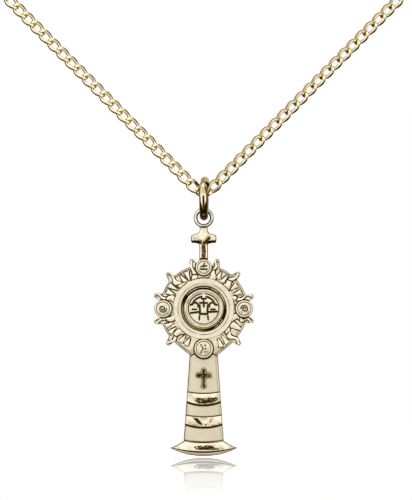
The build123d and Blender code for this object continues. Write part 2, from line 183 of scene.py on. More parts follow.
# ---------- mesh helpers
def make_piece(name, nodes, points, faces, finish, body="pendant", cavity=None, sharp=50, centre=(0, 0, 0)):
    """A mesh piece from points in millimetres, riding on a body and standing for CAD nodes."""
    mesh = bpy.data.meshes.new(name)
    centre = Vector(centre)
    mesh.from_pydata([tuple((Vector(point) + centre) * MM) for point in points], [], faces)
    mesh.validate()
    mesh.update()
    if cavity is not None:
        layer = mesh.attributes.new("cavity", "FLOAT", "POINT")
        layer.data.foreach_set("value", np.asarray(cavity, dtype=np.float32))
    material, slot = finish
    mesh.materials.append(material)
    mesh.shade_smooth()
    mesh.set_sharp_from_angle(angle=math.radians(sharp))
    piece = bpy.data.objects.new(name, mesh)
    bpy.context.scene.collection.objects.link(piece)
    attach(piece, body)
    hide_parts(*nodes)
    shell = bmesh.new()
    shell.from_mesh(mesh)
    bmesh.ops.recalc_face_normals(shell, faces=shell.faces)
    shell.to_mesh(mesh)
    shell.free()


def grid_faces(rows, columns, closed_rows=False, closed_columns=False, flip=False):
    faces = []
    for row in range(rows if closed_rows else rows - 1):
        here, below = row * columns, (row + 1) % rows * columns
        for column in range(columns if closed_columns else columns - 1):
            right = (column + 1) % columns
            quad = (here + column, here + right, below + right, below + column)
            faces.append(quad[::-1] if flip else quad)
    return faces


def wire_ring(radius, wire, axis):
    """A closed ring of round wire about an axis: points and faces."""
    steps, sides = 128, 28
    axis = Vector(axis).normalized()
    first = axis.orthogonal().normalized()
    second = axis.cross(first)
    points = []
    for turn in np.arange(steps) * 2 * np.pi / steps:
        out = first * math.cos(turn) + second * math.sin(turn)
        for angle in np.arange(sides) * 2 * np.pi / sides:
            points.append(out * (radius + wire / 2 * math.cos(angle)) + axis * (wire / 2 * math.sin(angle)))
    return points, grid_faces(steps, sides, True, True)


def blurred(field, passes, wrap):
    for _ in range(passes):
        padded = np.pad(field, ((1, 1), (0, 0)), mode="edge")
        field = (padded[:-2] + padded[1:-1] + padded[2:]) / 3
        if wrap:
            field = (np.roll(field, 1, axis=1) + field + np.roll(field, -1, axis=1)) / 3
        else:
            padded = np.pad(field, ((0, 0), (1, 1)), mode="edge")
            field = (padded[:, :-2] + padded[:, 1:-1] + padded[:, 2:]) / 3
    return field


def cavity_of(height, wrap, passes, depth):
    """1 in the narrow hollows of a height field, 0 on its flats and ridges."""
    return np.clip((blurred(height, passes, wrap) - height) / depth, 0, 1)


# ---------- relief profiles
def smooth(edge_low, edge_high, value):
    share = np.clip((value - edge_low) / (edge_high - edge_low), 0, 1)
    return share * share * (3 - 2 * share)


def fall(edge_low, edge_high, value):
    return 1 - smooth(edge_low, edge_high, value)


def ridge(distance, half_width):
    return fall(0.25 * half_width, half_width, np.abs(distance))


def bearing(u, v):
    return np.degrees(np.arctan2(v, u))


def turned_from(degrees, start):
    """How far an angle lies from a start, from -180 to 180 degrees."""
    return (degrees - start + 180) % 360 - 180


def to_segment(u, v, start, end):
    along = np.array(end, dtype=float) - np.array(start, dtype=float)
    share = np.clip(((u - start[0]) * along[0] + (v - start[1]) * along[1]) / (along @ along), 0, 1)
    return np.hypot(u - start[0] - share * along[0], v - start[1] - share * along[1])


def to_arc(u, v, centre, radius, start, end):
    """Distance to a circular arc that runs anticlockwise from start to end, in degrees."""
    middle_angle, half = (start + end) / 2, (end - start) / 2
    offset = np.clip(turned_from(bearing(u - centre[0], v - centre[1]), middle_angle), -half, half)
    nearest = np.radians(middle_angle + offset)
    return np.hypot(u - centre[0] - radius * np.cos(nearest), v - centre[1] - radius * np.sin(nearest))


def waver(u, v, seed):
    """A small, smooth, repeatable unevenness, as hand finishing leaves."""
    draw = np.random.default_rng(seed)
    total = 0
    for _ in range(6):
        (a, b), phase = draw.uniform(-3.2, 3.2, 2), draw.uniform(0, 6.3)
        total = total + np.sin(a * u + b * v + phase)
    return total / 6


def round_over(distance_in, radius):
    """How far an edge of this radius drops, at a distance in from the outline."""
    inside = np.clip(radius - distance_in, 0, radius)
    return radius - np.sqrt(np.maximum(radius * radius - inside * inside, 0))


def deepest(*shades):
    return np.maximum.reduce(np.broadcast_arrays(*shades))


# ---------- relief pieces
RELIEF_SHARP = 40
EDGE_BEVEL = 0.05
# painted shade on each relief piece's wall, behind its front outline
WALL_SHADE = 0.25


def closed_relief(u, v, height, back, wrap, cavity):
    """A solid from a grid of the front view: relief in front, a wall round it and a flat back.

    u and v are the grid's places in the front view and height its distance forward of y = 0.
    With wrap, the grid goes right round its centre, which its first row shrinks to.
    """
    rows, columns = u.shape
    points = list(zip(u.ravel(), -np.broadcast_to(height, u.shape).ravel(), v.ravel()))
    faces = grid_faces(rows, columns, False, wrap, flip=wrap)
    numbers = np.arange(rows * columns).reshape(rows, columns)
    previous = list(numbers[-1])
    if not wrap:
        previous = [*numbers[0], *numbers[1:, -1], *numbers[-1, -2::-1], *numbers[-2:0:-1, 0]]
    outline = np.array([(points[k][0], points[k][2]) for k in previous])
    along = np.roll(outline, -1, axis=0) - np.roll(outline, 1, axis=0)
    along /= np.maximum(np.linalg.norm(along, axis=1), 1e-9)[:, None]
    area = np.sum(outline[:, 0] * np.roll(outline[:, 1], -1) - outline[:, 1] * np.roll(outline[:, 0], -1))
    inward = np.stack([-along[:, 1], along[:, 0]], axis=1) * (1 if area > 0 else -1)
    shades = list(np.broadcast_to(cavity, u.shape).ravel())
    count = len(outline)
    for depth, inset, painted_dark in ((back - EDGE_BEVEL, 0, WALL_SHADE), (back, EDGE_BEVEL, 0)):
        ring = list(range(len(points), len(points) + count))
        points += [(place[0], depth, place[1]) for place in outline + inward * inset]
        shades += [painted_dark] * count
        for k in range(count):
            quad = (previous[k], previous[(k + 1) % count], ring[(k + 1) % count], ring[k])
            faces.append(quad if area < 0 else quad[::-1])
        previous = ring
    if wrap:
        points.append((0, back, 0))
        shades.append(0)
        faces += [(previous[k], previous[(k + 1) % count], len(points) - 1) for k in range(count)]
        faces.append(tuple(range(columns)))
        return points, faces, shades
    last = 2 * (columns - 1) + rows - 1
    right = [previous[columns - 1 + i] for i in range(rows)]
    left = [previous[0]] + [previous[last + rows - 1 - i] for i in range(1, rows)]
    faces.append((*previous[:columns], right[1], left[1]))
    faces += [(left[i], right[i], right[i + 1], left[i + 1]) for i in range(1, rows - 2)]
    faces.append((left[rows - 2], right[rows - 2], *previous[columns + rows - 2:last + 1]))
    return points, faces, shades


def relief_piece(name, nodes, finish, u, v, height, back, shade, wrap=False):
    points, faces, shades = closed_relief(u, v, height, back, wrap, shade)
    make_piece(name, nodes, points, faces, finish, cavity=shades, sharp=RELIEF_SHARP, centre=GLORY)


def polar(radii, steps):
    """Places on rings round the middle, whose radii are numbers or functions of the angle."""
    angle = 2 * np.pi * np.arange(steps) / steps
    reach = np.array([radius(angle) if callable(radius) else np.full(steps, radius) for radius in radii])
    return reach * np.cos(angle), reach * np.sin(angle), reach


# ---------- glory: the rayed plate
SPIKE_ANGLES = [15 + 30 * k for k in range(12) if k not in (8, 9)]
CHORD = 5.55                 # from the centre to the middle of each straight edge
SPIKE_FOOT = 5.62
SPIKE_TIP = 6.58
SPIKE_HALF_WIDTH = 5.8       # degrees
SHOULDER_CHORD = 5.70        # from the centre to the edges that run down into the stem's shoulders
SHOULDER_TURN = 40.5         # degrees from straight down to where those edges are nearest the centre
MEETING_HALF_ANGLE = 16.4    # degrees either side of straight down over which the glory meets the stem
ROUNDEL_PLACES = {name: middle(f"roundel_{name}") - GLORY for name in ("top", "left", "right", "bottom")}
ROUNDEL_RADII = {name: extent(f"roundel_{name}").x / 2 for name in ROUNDEL_PLACES}
RINGS_EDGE = 3.80            # where the flat rings end and the rayed band begins
RAY_FOOT = 3.86
FACET_LEANS = ((-1, 1), (0.2,), (-0.4,))
GULLY_ARCS = ((97, 17), (50, 15), (133, 9), (-38, 15), (-128, 12), (160, 6), (12, 7))   # degrees, half width: where the gully runs deep and takes its painted shade


def glory_rim(angle):
    degrees = np.degrees(angle) % 360
    rim = CHORD / np.cos(np.radians((degrees + 15) % 30 - 15))
    draw = np.random.default_rng(11)
    for spike in SPIKE_ANGLES:
        off = turned_from(degrees, spike)
        lean = draw.uniform(0.6, 1.5)
        wide = np.where(off > 0, SPIKE_HALF_WIDTH * lean, SPIKE_HALF_WIDTH / lean)
        share = np.clip(1.3 - 1.3 * np.abs(off) / wide, 0, 1)
        tip = SPIKE_TIP + draw.uniform(-0.06, 0.02)
        rim = np.maximum(rim, SPIKE_FOOT + (tip - SPIKE_FOOT) * np.sin(share * np.pi / 2) ** 2.4)
    for side in (-1, 1):
        off = turned_from(degrees, 270 + side * SHOULDER_TURN)
        line = SHOULDER_CHORD / np.cos(np.radians(np.clip(off, -40, 40)))
        rim = np.where((off * -side > -2) & (np.abs(off) < 26), np.maximum(rim, line), rim)
    for name, place in ROUNDEL_PLACES.items():
        reach = ROUNDEL_RADII[name] + (0.09 if name == "bottom" else 0.03)
        orbit = math.hypot(place.x, place.z)
        off = angle - math.atan2(place.z, place.x)
        inside = reach ** 2 - (orbit * np.sin(off)) ** 2
        bulge = orbit * np.cos(off) + np.sqrt(np.maximum(inside, 0))
        rim = np.where((inside > 0) & (np.cos(off) > 0), np.maximum(rim, bulge), rim)
    meeting = np.full_like(rim, 5.9)
    for _ in range(6):
        meeting = ogee(meeting * np.cos(angle)) / np.minimum(np.sin(angle), -0.5)
    return np.where(np.abs(degrees - 270) < MEETING_HALF_ANGLE, meeting, rim)


def gable(side, half, height):
    """A roof-shaped ridge with straight slopes, and the groove that outlines it."""
    inside = np.clip(1 - np.abs(side) / half, 0, 1)
    return height * (0.5 * inside + 0.5 * smooth(0, 0.35, inside)), ridge(np.abs(side) - half - 0.03, 0.10)


def out_and_side(u, v, degrees):
    """Places measured outwards along a ray at this angle, and sideways from it."""
    turn = math.radians(degrees)
    return u * math.cos(turn) + v * math.sin(turn), -u * math.sin(turn) + v * math.cos(turn)


def long_ray(u, v, spike, draw):
    """A wavy ray that ends in a spike and has a notch across it: what it raises and what it cuts."""
    out, side = out_and_side(u, v, spike + draw.uniform(-1.2, 1.2))
    side = side + draw.uniform(0.10, 0.22) * np.sin(draw.uniform(2.5, 5) * out + draw.uniform(0, 6))
    foot_half, crown = draw.uniform(0.44, 0.60), draw.uniform(5.35, 5.7)
    half = foot_half + (0.20 - foot_half) * np.clip((out - RAY_FOOT) / (crown - RAY_FOOT), 0, 1)
    here = (out > RAY_FOOT - 0.1) & (np.abs(side) < 1.3)
    roof, groove = gable(side, half, 0.15)
    depth = np.where(side > 0, draw.uniform(0.35, 1), draw.uniform(0.35, 1))
    notch, slant = draw.uniform(4.4, 5.2), draw.uniform(-0.5, 0.5)
    across = ridge(out - notch - slant * side, 0.09) * (np.abs(side) < half)
    spine = ridge(to_segment(side, out, (0, crown - 0.2), (0, SPIKE_TIP)), 0.17)
    return here * np.maximum(roof, 0.12 * spine), here * np.maximum(groove * depth * (out < crown), across)


def facet(u, v, gap, lean, draw):
    """A short ray between two long ones: what it raises and what it cuts."""
    out, side = out_and_side(u, v, 30 * gap + lean * draw.uniform(4.2, 5.6))
    side = side + lean * 0.16 * (out - 4.8) * draw.uniform(-1.0, 1.0)
    inner, outer = draw.uniform(4.0, 4.35), draw.uniform(5.15, 5.4)
    share = np.clip((out - inner) / (outer - inner), 0, 1)
    half = (0.09 if abs(lean) == 1 else 0.22) + 0.28 * (share if draw.uniform() < 0.6 else 1 - share)
    ends = smooth(inner - 0.12, inner + 0.05, out) * fall(outer - 0.05, outer + 0.1, out)
    here = ends * (np.abs(side) < 0.8)
    roof, groove = gable(side, half, draw.uniform(0.08, 0.15))
    return roof * here, draw.uniform(0.4, 0.9) * groove * here


def glory_relief(u, v, reach, rim):
    """Rays of irregular chased facets round the glory, low at the middle where the rings sit."""
    draw = np.random.default_rng(5)
    rays = [long_ray(u, v, spike, draw) for spike in SPIKE_ANGLES]
    for gap in range(12):
        if gap % 3:
            leans = FACET_LEANS[gap % 3 - 1 if draw.uniform() < 0.6 else 0]
            rays += [facet(u, v, gap, lean, draw) for lean in leans]
    raised = deepest(*(ray[0] for ray in rays))
    cuts = deepest(*(ray[1] for ray in rays)) * np.clip(0.95 + 1.6 * waver(2.2 * u, 2.2 * v, 29), 0.3, 1)
    band = smooth(RINGS_EDGE, 3.98, reach) * fall(-0.10, 0.02, reach - rim)
    edge_line = ridge(rim - reach - 0.14, 0.13) * (reach > 4.6)
    raised = np.maximum(raised, 0.13 * edge_line)
    cuts = cuts * (1 - edge_line)
    relief = 0.03 + raised * band - 0.13 * cuts * band + 0.03 * waver(1.4 * u, 1.4 * v, 3) * band
    angle = bearing(u, v)
    # Arcs where the gully is deep and darkened with painted shade.
    darkened_share = deepest(*(fall(0.6 * half, 1.3 * half, np.abs(turned_from(angle, start)))
                     for start, half in GULLY_ARCS))
    gully = ridge(reach - 3.935, 0.085) * (0.12 + 0.88 * darkened_share)
    relief = np.where(reach < RAY_FOOT, -0.16, relief - 0.12 * gully)
    relief -= round_over(np.maximum(rim - reach, 0), 0.16)
    for name, place in ROUNDEL_PLACES.items():
        off = np.hypot(u - place.x, v - place.z) - ROUNDEL_RADII[name]
        relief = np.where(off < 0.03, 0.0, relief - 0.13 * ridge(off - 0.05, 0.09) * (reach > 3.9))
        cuts = np.maximum(cuts, 0.8 * ridge(off - 0.04, 0.08) * (reach > 3.9))
    return relief, np.clip(np.maximum(gully, cuts * band), 0, 1)


def make_glory():
    radii = [0.05, 2.4, 3.0, 3.75]
    radii += [(lambda angle, share=share: RINGS_EDGE + (glory_rim(angle) - RINGS_EDGE) * share)
              for share in np.linspace(0, 1, 46) ** 0.93]
    u, v, reach = polar(radii, 1260)
    rim = np.tile(reach[-1], (len(radii), 1))
    relief, dark = glory_relief(u, v, reach, rim)
    # Painted shade in the hollows, the cut lines, the gully and round the roundels, and along the rim's
    # outline.
    shade = np.clip(0.9 * cavity_of(relief, True, 8, 0.035) + 0.85 * dark, 0, 1)
    shade = deepest(shade, 0.85 * fall(0.02, 0.13, rim - reach))
    relief_piece("glory_plate_with_rays", ("glory_plate", "glory_rays"), RELIEF,
                 u, v, PLATE_FRONT + relief, PLATE_BACK, shade, wrap=True)


# ---------- round pieces on the glory
ROUND_DEPTH = 0.25             # how far a round piece reaches down into the plate
# painted shade on the walls where a round piece sinks into the plate
ROUND_WALL_SHADE = 0.8


def round_piece(name, nodes, finish, radii, steps, relief, centre=GLORY):
    """A round or ring-shaped relief piece, closed at its hole or at its middle."""
    u, v, reach = polar(radii, steps)
    height, painted_dark = relief(u, v, reach)
    # Painted shade in the hollows, added to the painted shade that the relief gives.
    shade = np.clip(0.9 * cavity_of(height, True, 5, 0.03) + painted_dark, 0, 1)
    points = list(zip(u.ravel(), -(PLATE_FRONT + height).ravel(), v.ravel()))
    faces = grid_faces(len(radii), steps, False, True)
    start = len(points)
    for row in (-1, 0):
        points += [(u[row, j], ROUND_DEPTH - PLATE_FRONT, v[row, j]) for j in range(steps)]
    last = start - steps
    for j in range(steps):
        k = (j + 1) % steps
        faces.append((last + j, last + k, start + k, start + j))
        faces.append((start + j, start + k, start + steps + k, start + steps + j))
        faces.append((start + steps + j, start + steps + k, k, j))
    shades = list(shade.ravel()) + [ROUND_WALL_SHADE] * 2 * steps
    make_piece(name, nodes, points, faces, finish, cavity=shades, sharp=RELIEF_SHARP, centre=centre)


def upper_left(u, v):
    return fall(35, 75, np.abs(turned_from(bearing(u, v), 112)))


def crescent_shade(u, v):
    """How strong the painted shade in the groove is: most at the upper left and the lower right."""
    lower_right = fall(30, 65, np.abs(turned_from(bearing(u, v), -42)))
    return 0.25 + 0.75 * np.maximum(upper_left(u, v), lower_right)


def field_relief(u, v, reach):
    height = 0.17 - 0.33 * fall(2.80, 3.00, reach) + 0.035 * ridge(reach - 3.22, 0.07)
    height = height - round_over(np.maximum(3.91 - reach, 0), 0.07) + 0.012 * waver(u, v, 8)
    left = upper_left(u, v)
    # Painted shade on the groove's wall in crescents, and along a broken step line.
    wall = fall(2.76 + 0.12 * left, 2.88 + 0.14 * left, reach) * crescent_shade(u, v)
    step = ridge(reach - 3.30, 0.07) * np.clip(0.35 + 0.9 * waver(1.3 * u, 1.3 * v, 77), 0, 0.7)
    return height, np.maximum(wall, step)


BEZEL_CREST = 2.34
BEZEL_INNER, BEZEL_OUTER = 0.18, 0.38      # the widths of the rim's two sides


def bezel_relief(u, v, reach):
    """A rounded rim whose outer side runs down into the groove round it."""
    inner = np.clip((BEZEL_CREST - reach) / BEZEL_INNER, 0, 1)
    outer = np.clip((reach - BEZEL_CREST) / BEZEL_OUTER, 0, 1)
    inside = 0.40 * np.sqrt(np.maximum(1 - inner ** 2.4, 0))
    height = np.where(reach > BEZEL_CREST, 0.40 - 0.54 * outer ** 1.5, inside)
    height = height + 0.006 * waver(2 * u, 2 * v, 4)
    # Painted shade on the outer slope and in the groove, in crescents, and at the inner edge.
    painted_dark = smooth(0.35, 0.60, outer) * crescent_shade(u, v)
    return height, deepest(painted_dark, 0.9 * smooth(0.80, 0.95, outer), 0.6 * smooth(0.9, 1.0, inner))


EMBLEM_SCALE = 1.16
EMBLEM_STROKES = [
    ((-0.02, 0.98), (0.02, 0.22), 0.12), ((-0.42, 0.66), (0.40, 0.64), 0.13),
    ((-0.24, 1.12), (0.22, 1.10), 0.12), ((-1.42, -0.46), (-0.50, -0.34), 0.14),
    ((-0.50, -0.34), (-0.42, -0.56), 0.13), ((-0.42, -0.56), (0.40, -0.58), 0.15),
    ((0.40, -0.58), (0.48, -0.34), 0.13), ((0.48, -0.36), (1.46, -0.30), 0.14)]
MIRRORED_STROKES = [
    ((0.46, 0.40), (0.40, -0.34), 0.13), ((1.10, 0.66), (1.44, 0.42), 0.13),
    ((0.46, -0.80), (0.50, -1.20), 0.11), ((0.80, -0.06), (1.24, -0.06), 0.12)]
LEAVES = [((0.94, 0.34), 0.34, 20, 200), ((-0.94, 0.34), 0.34, -20, 160)]
FRAME_ARCS = [((0, 0), 1.36, 100, 148), ((0, 0), 1.36, 34, 78)]


def host_relief(u, v, reach):
    """A ring, and inside it a cross over an altar bar between two curled leaves, with two strokes below."""
    angle = bearing(u, v)
    u, v = u / EMBLEM_SCALE, v / EMBLEM_SCALE
    wobble = 0.02 * np.sin(np.radians(3 * angle))
    line = ridge(reach - 1.95 - wobble, 0.10) * (1 - ridge(angle - 90, 9))
    line = line * (0.55 + 0.45 * np.clip(np.sin(np.radians(angle + 10)) + 0.6, 0, 1))
    marks = []
    for side, strokes in ((1, EMBLEM_STROKES), (1, MIRRORED_STROKES), (-1, MIRRORED_STROKES)):
        marks += [ridge(to_segment(side * u, v, start, end), wide) for start, end, wide in strokes]
    marks += [ridge(to_arc(u, v, *arc), 0.13) for arc in LEAVES + FRAME_ARCS]
    emblem = deepest(*marks) * (reach < 1.85)
    shoulder = ridge(reach - 2.07 - wobble, 0.09) + ridge(emblem - 0.1, 0.1) * (emblem > 0)
    height = 0.20 - 0.09 * line - 0.11 * emblem + 0.05 * np.clip(shoulder, 0, 1)
    # The second value is painted shade in the ring line and the emblem's cut strokes.
    return height + 0.010 * waver(2 * u, 2 * v, 21), np.maximum(0.8 * line, 0.95 * emblem)


def make_rings():
    radii = [*np.linspace(2.70, 3.84, 44), *np.linspace(3.85, 3.91, 7)]
    round_piece("matte_field_ring", ("field_ring",), STRUCK, radii, 480, field_relief)
    radii = [*(BEZEL_CREST - BEZEL_INNER * np.cos(np.linspace(0, np.pi / 2, 14))),
             *np.linspace(BEZEL_CREST + 0.02, BEZEL_CREST + BEZEL_OUTER, 20)]
    round_piece("polished_bezel_ring", ("bezel_ring",), POLISHED, radii, 360, bezel_relief)
    round_piece("host_with_emblem", ("host_disc", "host_ring", "host_emblem"), STRUCK,
                [0.02, *np.linspace(0.05, 2.20, 110)], 400, host_relief)


def scroll(u, v, sign, radius):
    """A spiral scroll that winds inwards through three half turns."""
    marks = []
    for turn in range(3):
        start = 180 * turn + (0 if sign > 0 else 180)
        offset = sign * 0.14 * radius * (1 if turn % 2 else -1)
        marks.append(ridge(to_arc(u, v, (offset, 0), radius * (1 - 0.28 * turn), start, start + 180), 0.10))
    return deepest(*marks)


def roundel_motif(name, u, v):
    """The lines cut into a roundel: three bars, a wavy stalk with beads, or a scroll."""
    if name == "top":
        bars = (((-0.34, 0.10), (0.38, 0.20), 0.13), ((-0.42, -0.22), (0.42, -0.24), 0.14),
                ((0.06, 0.52), (-0.04, 0.22), 0.12))
        return deepest(*(ridge(to_segment(u, v, start, end), wide) for start, end, wide in bars))
    if name == "bottom":
        places = ((0.18, 0.42), (0.26, 0), (0.18, -0.42))
        beads = [fall(0.03, 0.15, np.hypot(u - x, v - z)) for x, z in places]
        stalk = ridge(np.abs(u + 0.22 - 0.12 * np.cos(6 * v)), 0.11) * (np.abs(v) < 0.60)
        return deepest(*beads, 0.8 * stalk)
    sign = -1 if name == "left" else 1
    return scroll(u - sign * 0.05, v, sign, 0.42)


def make_roundels():
    for name, place in ROUNDEL_PLACES.items():
        radius = ROUNDEL_RADII[name]

        def relief(u, v, reach):
            rim = ridge(reach - radius + 0.10, 0.12)
            gully = ridge(reach - radius + 0.25, 0.07)
            motif = roundel_motif(name, u, v)
            height = 0.16 + 0.03 * rim - 0.04 * gully - 0.10 * motif + 0.03 * (1 - (reach / radius) ** 2)
            height = height + 0.010 * waver(3 * u, 3 * v, 9) - round_over(np.maximum(radius - reach, 0), 0.10)
            # The second value is painted shade in the gully and the cut motif.
            return height, 0.5 * gully + 0.9 * motif
        round_piece(f"roundel_{name}_relief", (f"roundel_{name}",), RELIEF,
                    [0.02, *np.linspace(0.04, radius, 52)], 200, relief, GLORY + place)


# ---------- stem, bands and foot
STEM_LOW, STEM_HIGH = from_glory("stem")
STEM_FOOT = STEM_LOW.z + 0.22
STEM_FOOT_HALF = STEM_HIGH.x
STEM_SHOULDER = -5.97
STEM_SHOULDER_HALF = 1.80
STEM_PEAKS = (1.30, -5.80)     # how far aside the two peaks stand, and their height
STEM_PEAK_SLOPE = 0.62
BAND_SAG = 0.22
BANDS = {}                     # the top and the bottom of each band at its ends
for band_name in ("upper_band", "lower_band"):
    low, high = from_glory(band_name)
    BANDS[band_name] = (high.z, low.z + 2 * BAND_SAG)
CROSS_LOW, CROSS_HIGH = from_glory("stem_cross")


def stem_half(z):
    """Half the stem's width: straight tapering sides under a shoulder that meets the glory."""
    slope = (STEM_FOOT_HALF - STEM_SHOULDER_HALF) / (STEM_SHOULDER - STEM_FOOT)
    side = STEM_SHOULDER_HALF + slope * (STEM_SHOULDER - z)
    return np.where(z > STEM_SHOULDER, STEM_SHOULDER_HALF - 0.03, side)


def ogee(u):
    """The stem's top edge in the front view: two peaks, and a scoop round the lowest roundel."""
    reach = ROUNDEL_RADII["bottom"] + 0.10
    scoop = ROUNDEL_PLACES["bottom"].z - np.sqrt(reach ** 2 - np.minimum(np.abs(u), reach) ** 2)
    aside, height = STEM_PEAKS
    return np.minimum(scoop, height - STEM_PEAK_SLOPE * np.maximum(np.abs(u) - aside, 0))


def make_stem():
    rows = np.concatenate([np.linspace(-5.30, -7.2, 90), np.linspace(-7.22, STEM_FOOT - 0.10, 150)])
    columns = np.sin(np.linspace(-1, 1, 121) * np.pi / 2 * 0.86) / math.sin(np.pi / 2 * 0.86)
    z = np.repeat(rows[:, None], len(columns), axis=1)
    half = stem_half(z)
    u = columns * half
    bow = 1 - columns ** 2
    edge = half - np.abs(u)
    below = ogee(u) - z
    line = ridge(below + 0.01, 0.13)
    relief = 0.10 * bow - 0.03 + 0.012 * waver(u, z, 14) - round_over(edge, 0.07)
    relief = relief + 0.03 * ridge(edge - 0.10, 0.11) * smooth(0, 0.1, below) - 0.15 * line
    relief = np.where(below < -0.05, -0.10, relief)
    # Painted shade along the top line, the bands' troughs and seams, round the cross and at the foot's seam.
    dark = [0.9 * line]
    for top, bottom in BANDS.values():
        lower = z - bottom + 2 * BAND_SAG * bow
        trough = ridge(lower + 0.05, 0.12)
        seam = ridge(z - top + BAND_SAG * bow - 0.05, 0.12)
        relief = relief - 0.12 * trough - 0.05 * seam
        dark += [trough, 0.5 * ridge(lower + 0.07, 0.22), 0.62 * seam]
    _, _, cross = rows_of(stem_cross_half, np.linspace(CROSS_HIGH.z, CROSS_LOW.z, 40), 3)
    seam = ridge(z - STEM_FOOT + BAND_SAG * bow - 0.10, 0.10)
    relief = relief - 0.06 * seam
    dark += [0.9 * fall(0.02, 0.11, edge_distance(u, z, cross)), 0.6 * seam]
    # Painted shade in the hollows, along the outline (darker on the left) and in a faint line just inside it.
    shade = np.clip(0.6 * cavity_of(relief, False, 6, 0.05) + deepest(*dark), 0, 1)
    outline = np.where(u < 0, 0.95, 0.62) * fall(0.06, 0.16, edge)
    inner_line = np.where(u < 0, 0.15, 0.30) * ridge(edge - 0.30, 0.08) * (below > 0.1)
    relief_piece("tapering_stem", ("stem", "stem_border_left", "stem_border_right"), COARSE_SHADED,
                 u, z, PLATE_FRONT - 0.01 + relief, PLATE_BACK - 0.01, deepest(shade, outline, inner_line))


def painted_reflection_patch(share, drop, centre, size, seed):
    """A ragged patch of painted dark reflection in a polished band, with lighter specks in it."""
    off = ((share - centre[0]) / size[0]) ** 4 + ((drop - centre[1]) / size[1]) ** 2
    ragged = off + 0.55 * waver(11 * share, 7 * drop, seed)
    specks = 1.02 + 1.9 * waver(17 * share, 8 * drop, seed + 1)
    return fall(0.65, 1.05, ragged) * np.clip(specks, 0.28, 1)


def upper_marks(share, drop):
    """The upper band swells to its middle, and has a painted dark reflection right of it."""
    return 0.14 * (1 - share ** 2), painted_reflection_patch(share, drop, (0.18, 0.61), (0.72, 0.27), 71)


def lower_marks(share, drop):
    """The lower band leans upwards but for two shallow slanting dents, the left one holding a painted dark
    reflection.
    """
    dent = np.exp(-((share + 0.30 - 0.50 * (drop - 0.42)) / (0.17 - 0.08 * drop)) ** 2)
    small = np.exp(-((share - 0.37 + 0.25 * (drop - 0.4)) / 0.08) ** 2)
    height = 0.10 * (1 - share ** 2) + (0.08 - 0.12 * np.maximum(dent, 0.6 * small)) * (drop - 0.3)
    inside = smooth(0.02, 0.16, drop) * fall(0.66, 0.80, drop)
    painted_dark = smooth(0.30, 0.62, dent + 0.2 * waver(9 * share, 9 * drop, 73)) * inside
    # A fainter painted dark reflection in the right dent, and painted shade under the top edge.
    faint = 0.42 * smooth(0.3, 0.7, small) * smooth(0.1, 0.25, drop) * fall(0.5, 0.62, drop)
    return height, deepest(painted_dark, faint, 0.28 * ridge(share - 0.02, 0.30) * fall(0.12, 0.26, drop))


def sagging_rows(columns, shares, upper, lower):
    """Heights of rows, shares of the way down between two edges, each with its end's height and its sag."""
    bow = 1 - columns ** 2
    top = upper[0] - upper[1] * bow
    return top + (lower[0] - lower[1] * bow - top) * shares


def make_band(name, seed, marks, fullness):
    top, bottom = BANDS[name]
    columns = np.linspace(-1, 1, 161)[None, :]
    shares = np.linspace(0, 1, 45)[:, None]
    z = sagging_rows(columns, shares, (top, BAND_SAG), (bottom, 2 * BAND_SAG))
    u = columns * stem_half(z)
    belly = np.sqrt(1 - 0.92 * np.abs(np.clip((shares - 0.46) / 0.60, -1, 1)) ** 2.4)
    edge = stem_half(z) - np.abs(u)
    from_bottom = (1 - shares) * 1.1
    swell, painted_dark = marks(columns, shares)
    relief = 0.20 - fullness + fullness * belly + swell
    relief = relief + 0.010 * waver(1.1 * u, 1.7 * z, seed) + 0.004 * waver(4 * u, 5 * z, seed)
    relief = relief - round_over(edge, 0.10) - round_over(shares * 1.1, 0.05) - round_over(from_bottom, 0.12)
    # Painted shade along the outline, darker on the left, and along the bottom and top edges.
    outline = np.where(u < 0, 0.9, 0.7) * fall(0.03, 0.14, edge)
    shade = deepest(painted_dark, outline, fall(0.03, 0.12, from_bottom)).copy()
    shade[0] = 0.7
    relief_piece(f"polished_{name}", (name,), POLISHED,
                 u, z, PLATE_FRONT + relief, 0.15 - PLATE_FRONT, shade)


FOOT_HALF = from_glory("foot")[1].x
FOOT_TIP = from_glory("foot_lip")[1].z
FOOT_SAG = FOOT_TIP - from_glory("foot")[0].z
LIP_SAG = FOOT_TIP - from_glory("foot_lip")[0].z


def make_foot():
    columns = np.sin(np.linspace(-1, 1, 161) * np.pi / 2)[None, :]
    shares = np.linspace(0, 1, 41)[:, None]
    half = STEM_FOOT_HALF + (FOOT_HALF - STEM_FOOT_HALF) * shares ** 1.15
    z = sagging_rows(columns, shares, (STEM_FOOT, BAND_SAG), (FOOT_TIP, FOOT_SAG))
    u = columns * half
    belly = np.sqrt(1 - 0.9 * np.abs(np.clip((shares - 0.50) / 0.62, -1, 1)) ** 2.2)
    edge = (half - np.abs(u)) * 0.7
    relief = 0.03 + 0.30 * belly - 0.30 * columns ** 2 + 0.015 * waver(0.8 * u, 1.5 * z, 31)
    relief = relief + 0.003 * waver(4 * u, 5 * z, 33) - 0.8 * round_over(edge, 0.15)
    relief = relief - round_over((1 - shares) * 1.2, 0.12)
    # Painted shade along the outline, the bottom and the top edge, with a painted dark reflection patch.
    shade = deepest(0.9 * fall(0.05, 0.17, edge), painted_reflection_patch(columns, shares, (0, 0.50), (0.40, 0.24), 83),
                    0.98 * fall(0.05, 0.15, (1 - shares) * 1.1), 0.8 * fall(0.02, 0.09, shares * 1.1))
    relief_piece("crescent_foot", ("foot",), POLISHED,
                 u, z, PLATE_FRONT + relief, PLATE_BACK, shade)


